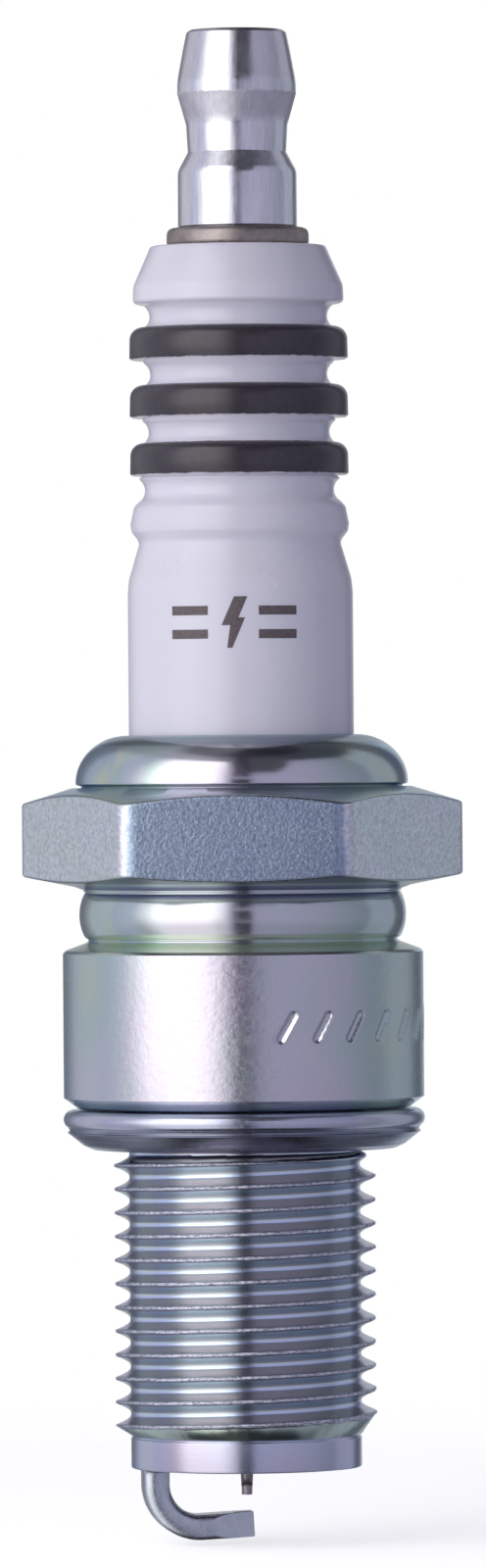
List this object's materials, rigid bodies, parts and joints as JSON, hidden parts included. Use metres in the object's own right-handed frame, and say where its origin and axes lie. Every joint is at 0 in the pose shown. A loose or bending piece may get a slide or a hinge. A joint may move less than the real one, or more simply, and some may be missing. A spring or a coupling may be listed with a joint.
{
  "type": "spark plug",
  "caption": "Spark plug with a removable terminal nut, ribbed ceramic insulator, hexagon shell, captive crush gasket, M14 thread and fine-wire centre electrode.",
  "frame": {"origin": "on the plug's axis, in the plane of the barrel's underside that the crush gasket bears on, where reach is measured from", "axes": "+Z along the plug's axis towards the terminal; -Y is square to one hexagon flat; the ground electrode is welded on the -X side, 9 degrees round towards -Y"},
  "size_m": [0.0232, 0.0206, 0.0798],
  "materials": {
    "turned_aluminium": "bright turned",
    "nickel_plated_steel": "dull plated",
    "glazed_alumina": "glossy glaze, three ribs glazed black",
    "zinc_plated_steel": "bright zinc plate",
    "gasket_steel": "zinc plated sheet",
    "nickel_alloy": "drawn nickel alloy",
    "copper": "plain copper",
    "iridium_alloy": "drawn wire",
    "seal_glass": "copper-filled glass, opaque",
    "carbon_ceramic": "matte",
    "talc": "pressed powder",
    "spring_steel": "drawn wire"
  },
  "bodies": {
    "plug": {"terminal_stud": "nickel_plated_steel", "insulator": "glazed_alumina", "metal_shell": "zinc_plated_steel", "ground_electrode": "nickel_alloy", "center_electrode": "nickel_alloy", "center_electrode_core": "copper", "iridium_wire_tip": "iridium_alloy", "lower_glass_seal": "seal_glass", "resistor": "carbon_ceramic", "upper_glass_seal": "seal_glass", "talc_packing": "talc", "upper_packing_ring": "spring_steel", "lower_packing_ring": "spring_steel", "ledge_washer": "spring_steel"},
    "terminal_nut": {"terminal_nut": "turned_aluminium"},
    "seat_gasket": {"seat_gasket": "gasket_steel"}
  },
  "joints": [
    {"name": "terminal_nut_unscrews", "type": "slide", "parent": "plug", "child": "terminal_nut", "axis": [0, 0, 1], "range_m": [0, 0.0085]},
    {"name": "gasket_spins", "type": "hinge", "parent": "plug", "child": "seat_gasket", "pos_m": [0, 0, -0.0012], "axis": [0, 0, 1], "continuous": true}
  ]
}
